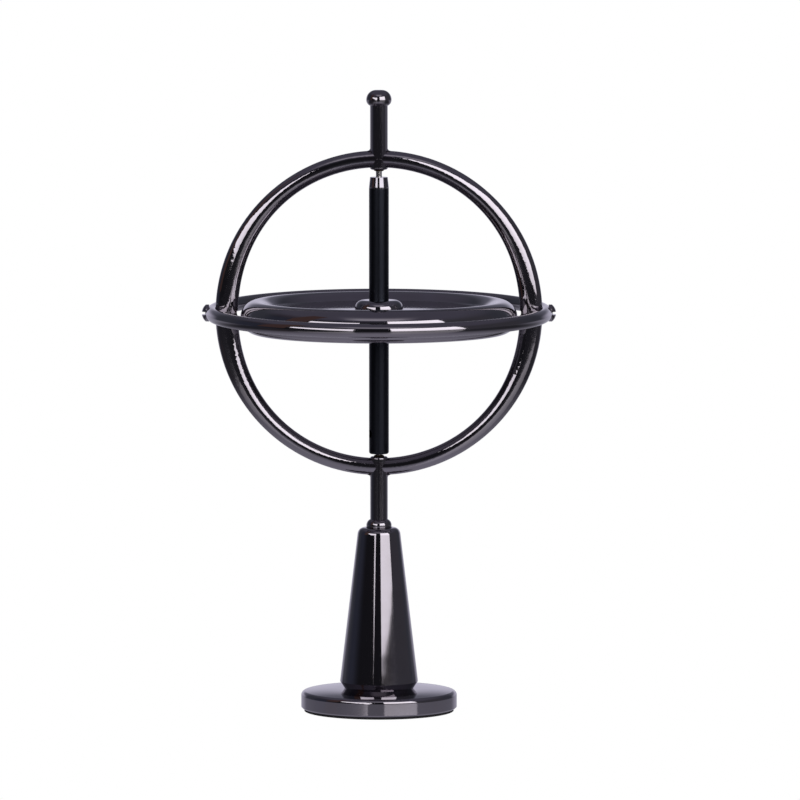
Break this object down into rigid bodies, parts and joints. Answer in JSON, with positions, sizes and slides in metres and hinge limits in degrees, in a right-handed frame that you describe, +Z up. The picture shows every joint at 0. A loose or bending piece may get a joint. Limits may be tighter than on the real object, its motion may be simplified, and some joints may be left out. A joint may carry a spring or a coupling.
{
  "type": "spinning top",
  "caption": "Metal toy gyroscope: flywheel on a shaft inside an upright ring and an equator ring, balanced by a ball foot on a cone-shaped stand.",
  "frame": {"origin": "middle of the stand's underside, on the axis of the stand and the rotor", "axes": "+Z up along the rotor's axis; the upright ring lies in the XZ plane, its screws are at +X and -X; the front is -Y"},
  "size_m": [0.0642, 0.063, 0.1131],
  "materials": {
    "black_nickel": "mirror-polished black nickel plating on die-cast zinc",
    "wheel_black_nickel": "mirror-polished black nickel plating on die-cast zinc",
    "stand_black_nickel": "mirror-polished black nickel plating on die-cast zinc",
    "screw_black_nickel": "polished black nickel plating on steel",
    "shaft_black": "satin black plating on steel, polished at the tapered end",
    "pivot_steel": "bright hardened steel",
    "bearing_bronze": "plain bronze, dark with oil",
    "screw_steel": "zinc-plated steel",
    "pad_foam": "matte black non-slip foam"
  },
  "bodies": {
    "stand": {"stand_base": "stand_black_nickel", "stand_column": "stand_black_nickel", "stand_screw": "screw_steel", "stand_pad": "pad_foam"},
    "frame": {"upper_frame_half": "black_nickel", "lower_frame_half": "black_nickel", "equator_ring": "black_nickel", "left_ring_screw": "screw_black_nickel", "right_ring_screw": "screw_black_nickel", "upper_bearing_cup": "bearing_bronze", "lower_bearing_cup": "bearing_bronze"},
    "rotor": {"rotor_shaft": "shaft_black", "flywheel": "wheel_black_nickel", "upper_pivot_pin": "pivot_steel", "lower_pivot_pin": "pivot_steel"}
  },
  "joints": [
    {"name": "frame_lean", "type": "hinge", "parent": "stand", "child": "frame", "pos_m": [0, 0, 0.03388], "axis": [0, 1, 0], "range_deg": [-45, 45]},
    {"name": "rotor_spin", "type": "hinge", "parent": "frame", "child": "rotor", "pos_m": [0, 0, 0.0726], "axis": [0, 0, 1], "continuous": true}
  ]
}
